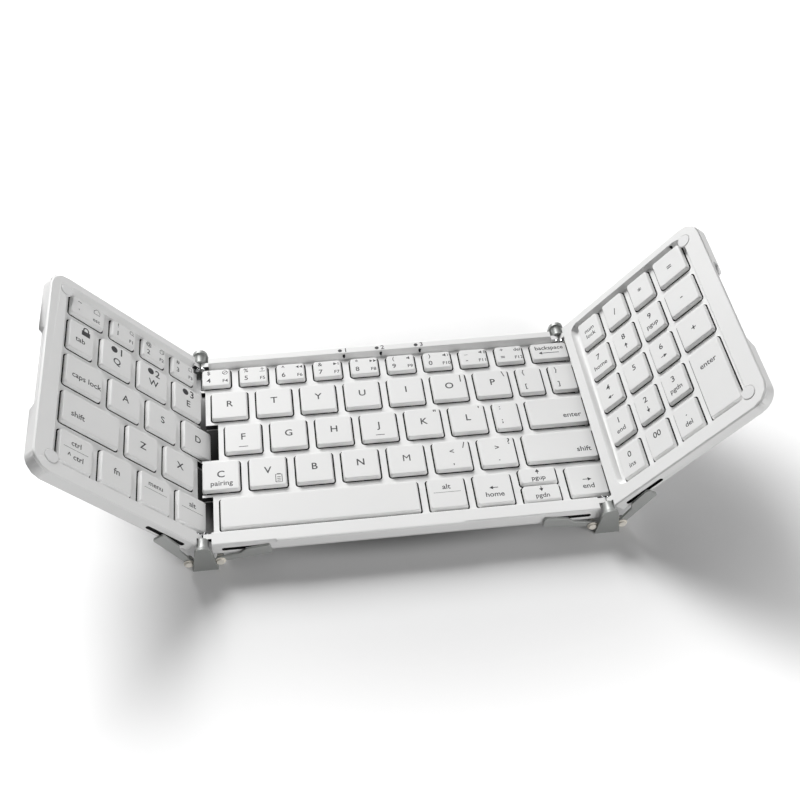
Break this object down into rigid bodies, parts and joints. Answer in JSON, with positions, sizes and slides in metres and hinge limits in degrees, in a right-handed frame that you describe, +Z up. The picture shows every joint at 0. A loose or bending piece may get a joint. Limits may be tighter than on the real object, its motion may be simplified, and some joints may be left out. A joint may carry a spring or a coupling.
{
  "type": "folding keyboard",
  "caption": "Three-panel folding keyboard: a centre panel and two wings with a number pad, joined by twin-pin metal brackets with sliding braces that stand it on the table, wings half raised.",
  "frame": {"origin": "middle of the bounding box in plan, on the table under the bracket feet, with the wings half raised as in the picture", "axes": "+X to the typist's right along the seams' normal, +Y away from the typist, +Z up from the table"},
  "size_m": [0.2574, 0.1006, 0.0691],
  "materials": {
    "frame_plastic": "satin white moulded plastic",
    "cover_plastic": "light grey-white moulded plastic, finer satin than the frame",
    "key_plastic": "satin white moulded key caps with thin dark grey legends",
    "bracket_metal": "grey zinc casting, satin",
    "brace_metal": "grey pressed steel, satin",
    "pin_metal": "bright polished pins with round heads",
    "bush_nylon": "off-white nylon",
    "steel_sheet": "plain sheet metal",
    "socket_steel": "drawn steel shell",
    "dome_rubber": "black rubber sheet with low domes",
    "bumper_rubber": "pale grey soft rubber discs",
    "board_green": "green printed board",
    "cell_wrap": "grey foil-wrapped cell",
    "lens_plastic": "small dark glossy lenses",
    "screw_steel": "small plated screws"
  },
  "bodies": {
    "centre_panel": {"centre_frame": "frame_plastic", "centre_bottom_cover": "cover_plastic", "centre_support_plate": "steel_sheet", "centre_dome_sheet": "dome_rubber", "centre_status_lights": "lens_plastic", "centre_cover_screws": "screw_steel"},
    "left_hinge": {"left_hinge_brackets": "bracket_metal", "left_hinge_pins": "pin_metal", "left_brace_bushes": "bush_nylon"},
    "left_centre_brace_pair": {"left_centre_braces": "brace_metal"},
    "left_wing_brace_pair": {"left_wing_braces": "brace_metal"},
    "left_wing": {"left_frame": "frame_plastic", "left_bottom_cover": "cover_plastic", "left_support_plate": "steel_sheet", "left_dome_sheet": "dome_rubber", "left_corner_bumpers": "bumper_rubber", "left_cover_screws": "screw_steel", "battery_cell": "cell_wrap"},
    "right_hinge": {"right_hinge_brackets": "bracket_metal", "right_hinge_pins": "pin_metal", "right_brace_bushes": "bush_nylon"},
    "right_centre_brace_pair": {"right_centre_braces": "brace_metal"},
    "right_wing_brace_pair": {"right_wing_braces": "brace_metal"},
    "right_wing": {"right_frame": "frame_plastic", "right_bottom_cover": "cover_plastic", "right_support_plate": "steel_sheet", "right_dome_sheet": "dome_rubber", "right_corner_bumpers": "bumper_rubber", "right_cover_screws": "screw_steel", "right_status_light": "lens_plastic", "circuit_board": "board_green", "charging_socket": "socket_steel"},
    "backquote_key_body": {"backquote_key": "key_plastic"},
    "left_number_keys_body": {"left_number_keys": "key_plastic"},
    "tab_key_body": {"tab_key": "key_plastic"},
    "left_upper_letter_keys_body": {"left_upper_letter_keys": "key_plastic"},
    "caps_lock_key_body": {"caps_lock_key": "key_plastic"},
    "left_home_letter_keys_body": {"left_home_letter_keys": "key_plastic"},
    "left_shift_key_body": {"left_shift_key": "key_plastic"},
    "left_lower_letter_keys_body": {"left_lower_letter_keys": "key_plastic"},
    "left_modifier_keys_body": {"left_modifier_keys": "key_plastic"},
    "centre_number_keys_body": {"centre_number_keys": "key_plastic"},
    "backspace_key_body": {"backspace_key": "key_plastic"},
    "centre_upper_letter_keys_body": {"centre_upper_letter_keys": "key_plastic"},
    "square_bracket_keys_body": {"square_bracket_keys": "key_plastic"},
    "centre_home_letter_keys_body": {"centre_home_letter_keys": "key_plastic"},
    "semicolon_key_body": {"semicolon_key": "key_plastic"},
    "enter_key_body": {"enter_key": "key_plastic"},
    "centre_lower_letter_keys_body": {"centre_lower_letter_keys": "key_plastic"},
    "right_shift_key_body": {"right_shift_key": "key_plastic"},
    "space_key_body": {"space_key": "key_plastic"},
    "right_alt_key_body": {"right_alt_key": "key_plastic"},
    "side_arrow_keys_body": {"side_arrow_keys": "key_plastic"},
    "page_up_key_body": {"page_up_key": "key_plastic"},
    "page_down_key_body": {"page_down_key": "key_plastic"},
    "pad_top_keys_body": {"pad_top_keys": "key_plastic"},
    "pad_digit_keys_body": {"pad_digit_keys": "key_plastic"},
    "pad_zero_keys_body": {"pad_zero_keys": "key_plastic"},
    "pad_operator_keys_body": {"pad_operator_keys": "key_plastic"},
    "pad_enter_key_body": {"pad_enter_key": "key_plastic"}
  },
  "joints": [
    {"name": "left_tilt", "type": "hinge", "parent": "centre_panel", "child": "left_hinge", "pos_m": [-0.07469, 0, 0.0108], "axis": [0, 1, 0], "range_deg": [0, 90]},
    {"name": "left_fold", "type": "hinge", "parent": "left_hinge", "child": "left_wing", "pos_m": [-0.0768, 0, 0.0108], "axis": [0, 1, 0], "range_deg": [-49, 41]},
    {"name": "right_tilt", "type": "hinge", "parent": "centre_panel", "child": "right_hinge", "pos_m": [0.0753, 0, 0.0108], "axis": [0, -1, 0], "range_deg": [0, 90]},
    {"name": "right_fold", "type": "hinge", "parent": "right_hinge", "child": "right_wing", "pos_m": [0.07741, 0, 0.0108], "axis": [0, -1, 0], "range_deg": [-50.5, 39.5]},
    {"name": "left_centre_brace_turn", "type": "hinge", "parent": "left_hinge", "child": "left_centre_brace_pair", "pos_m": [-0.06994, 0, 0.0034], "axis": [0, -1, 0], "range_deg": [0, 81.5]},
    {"name": "left_wing_brace_turn", "type": "hinge", "parent": "left_hinge", "child": "left_wing_brace_pair", "pos_m": [-0.08155, 0, 0.0034], "axis": [0, 1, 0], "range_deg": [-43.5, 36.5]},
    {"name": "right_centre_brace_turn", "type": "hinge", "parent": "right_hinge", "child": "right_centre_brace_pair", "pos_m": [0.07056, 0, 0.0034], "axis": [0, 1, 0], "range_deg": [0, 81.5]},
    {"name": "right_wing_brace_turn", "type": "hinge", "parent": "right_hinge", "child": "right_wing_brace_pair", "pos_m": [0.08216, 0, 0.0034], "axis": [0, -1, 0], "range_deg": [-44.8, 35.2]},
    {"name": "backquote_key_press", "type": "slide", "parent": "left_wing", "child": "backquote_key_body", "axis": [-0.7547, 0, -0.6561], "range_m": [0, 0.0013], "stiffness_N_per_m": 250, "springref_m": -0.0005},
    {"name": "left_number_keys_press", "type": "slide", "parent": "left_wing", "child": "left_number_keys_body", "axis": [-0.7547, 0, -0.6561], "range_m": [0, 0.0013], "stiffness_N_per_m": 350, "springref_m": -0.0005},
    {"name": "tab_key_press", "type": "slide", "parent": "left_wing", "child": "tab_key_body", "axis": [-0.7547, 0, -0.6561], "range_m": [0, 0.0013], "stiffness_N_per_m": 250, "springref_m": -0.0005},
    {"name": "left_upper_letter_keys_press", "type": "slide", "parent": "left_wing", "child": "left_upper_letter_keys_body", "axis": [-0.7547, 0, -0.6561], "range_m": [0, 0.0013], "stiffness_N_per_m": 350, "springref_m": -0.0005},
    {"name": "caps_lock_key_press", "type": "slide", "parent": "left_wing", "child": "caps_lock_key_body", "axis": [-0.7547, 0, -0.6561], "range_m": [0, 0.0013], "stiffness_N_per_m": 250, "springref_m": -0.0005},
    {"name": "left_home_letter_keys_press", "type": "slide", "parent": "left_wing", "child": "left_home_letter_keys_body", "axis": [-0.7547, 0, -0.6561], "range_m": [0, 0.0013], "stiffness_N_per_m": 350, "springref_m": -0.0005},
    {"name": "left_shift_key_press", "type": "slide", "parent": "left_wing", "child": "left_shift_key_body", "axis": [-0.7547, 0, -0.6561], "range_m": [0, 0.0013], "stiffness_N_per_m": 250, "springref_m": -0.0005},
    {"name": "left_lower_letter_keys_press", "type": "slide", "parent": "left_wing", "child": "left_lower_letter_keys_body", "axis": [-0.7547, 0, -0.6561], "range_m": [0, 0.0013], "stiffness_N_per_m": 300, "springref_m": -0.0005},
    {"name": "left_modifier_keys_press", "type": "slide", "parent": "left_wing", "child": "left_modifier_keys_body", "axis": [-0.7547, 0, -0.6561], "range_m": [0, 0.0013], "stiffness_N_per_m": 400, "springref_m": -0.0005},
    {"name": "centre_number_keys_press", "type": "slide", "parent": "centre_panel", "child": "centre_number_keys_body", "axis": [0, 0, -1], "range_m": [0, 0.0013], "stiffness_N_per_m": 650, "springref_m": -0.0005},
    {"name": "backspace_key_press", "type": "slide", "parent": "centre_panel", "child": "backspace_key_body", "axis": [0, 0, -1], "range_m": [0, 0.0013], "stiffness_N_per_m": 250, "springref_m": -0.0005},
    {"name": "centre_upper_letter_keys_press", "type": "slide", "parent": "centre_panel", "child": "centre_upper_letter_keys_body", "axis": [0, 0, -1], "range_m": [0, 0.0013], "stiffness_N_per_m": 550, "springref_m": -0.0005},
    {"name": "square_bracket_keys_press", "type": "slide", "parent": "centre_panel", "child": "square_bracket_keys_body", "axis": [0, 0, -1], "range_m": [0, 0.0013], "stiffness_N_per_m": 300, "springref_m": -0.0005},
    {"name": "centre_home_letter_keys_press", "type": "slide", "parent": "centre_panel", "child": "centre_home_letter_keys_body", "axis": [0, 0, -1], "range_m": [0, 0.0013], "stiffness_N_per_m": 500, "springref_m": -0.0005},
    {"name": "semicolon_key_press", "type": "slide", "parent": "centre_panel", "child": "semicolon_key_body", "axis": [0, 0, -1], "range_m": [0, 0.0013], "stiffness_N_per_m": 250, "springref_m": -0.0005},
    {"name": "enter_key_press", "type": "slide", "parent": "centre_panel", "child": "enter_key_body", "axis": [0, 0, -1], "range_m": [0, 0.0013], "stiffness_N_per_m": 250, "springref_m": -0.0005},
    {"name": "centre_lower_letter_keys_press", "type": "slide", "parent": "centre_panel", "child": "centre_lower_letter_keys_body", "axis": [0, 0, -1], "range_m": [0, 0.0013], "stiffness_N_per_m": 550, "springref_m": -0.0005},
    {"name": "right_shift_key_press", "type": "slide", "parent": "centre_panel", "child": "right_shift_key_body", "axis": [0, 0, -1], "range_m": [0, 0.0013], "stiffness_N_per_m": 250, "springref_m": -0.0005},
    {"name": "space_key_press", "type": "slide", "parent": "centre_panel", "child": "space_key_body", "axis": [0, 0, -1], "range_m": [0, 0.0013], "stiffness_N_per_m": 250, "springref_m": -0.0005},
    {"name": "right_alt_key_press", "type": "slide", "parent": "centre_panel", "child": "right_alt_key_body", "axis": [0, 0, -1], "range_m": [0, 0.0013], "stiffness_N_per_m": 250, "springref_m": -0.0005},
    {"name": "side_arrow_keys_press", "type": "slide", "parent": "centre_panel", "child": "side_arrow_keys_body", "axis": [0, 0, -1], "range_m": [0, 0.0013], "stiffness_N_per_m": 300, "springref_m": -0.0005},
    {"name": "page_up_key_press", "type": "slide", "parent": "centre_panel", "child": "page_up_key_body", "axis": [0, 0, -1], "range_m": [0, 0.0013], "stiffness_N_per_m": 250, "springref_m": -0.0005},
    {"name": "page_down_key_press", "type": "slide", "parent": "centre_panel", "child": "page_down_key_body", "axis": [0, 0, -1], "range_m": [0, 0.0013], "stiffness_N_per_m": 250, "springref_m": -0.0005},
    {"name": "pad_top_keys_press", "type": "slide", "parent": "right_wing", "child": "pad_top_keys_body", "axis": [0.7716, 0, -0.6361], "range_m": [0, 0.0013], "stiffness_N_per_m": 350, "springref_m": -0.0005},
    {"name": "pad_digit_keys_press", "type": "slide", "parent": "right_wing", "child": "pad_digit_keys_body", "axis": [0.7716, 0, -0.6361], "range_m": [0, 0.0013], "stiffness_N_per_m": 650, "springref_m": -0.0005},
    {"name": "pad_zero_keys_press", "type": "slide", "parent": "right_wing", "child": "pad_zero_keys_body", "axis": [0.7716, 0, -0.6361], "range_m": [0, 0.0013], "stiffness_N_per_m": 350, "springref_m": -0.0005},
    {"name": "pad_operator_keys_press", "type": "slide", "parent": "right_wing", "child": "pad_operator_keys_body", "axis": [0.7716, 0, -0.6361], "range_m": [0, 0.0013], "stiffness_N_per_m": 350, "springref_m": -0.0005},
    {"name": "pad_enter_key_press", "type": "slide", "parent": "right_wing", "child": "pad_enter_key_body", "axis": [0.7716, 0, -0.6361], "range_m": [0, 0.0013], "stiffness_N_per_m": 250, "springref_m": -0.0005}
  ],
  "couplings": [
    {"joint": "left_centre_brace_turn", "follows": "left_tilt", "ratio": 0.9},
    {"joint": "left_wing_brace_turn", "follows": "left_fold", "ratio": 0.88},
    {"joint": "right_centre_brace_turn", "follows": "right_tilt", "ratio": 0.9},
    {"joint": "right_wing_brace_turn", "follows": "right_fold", "ratio": 0.88}
  ]
}
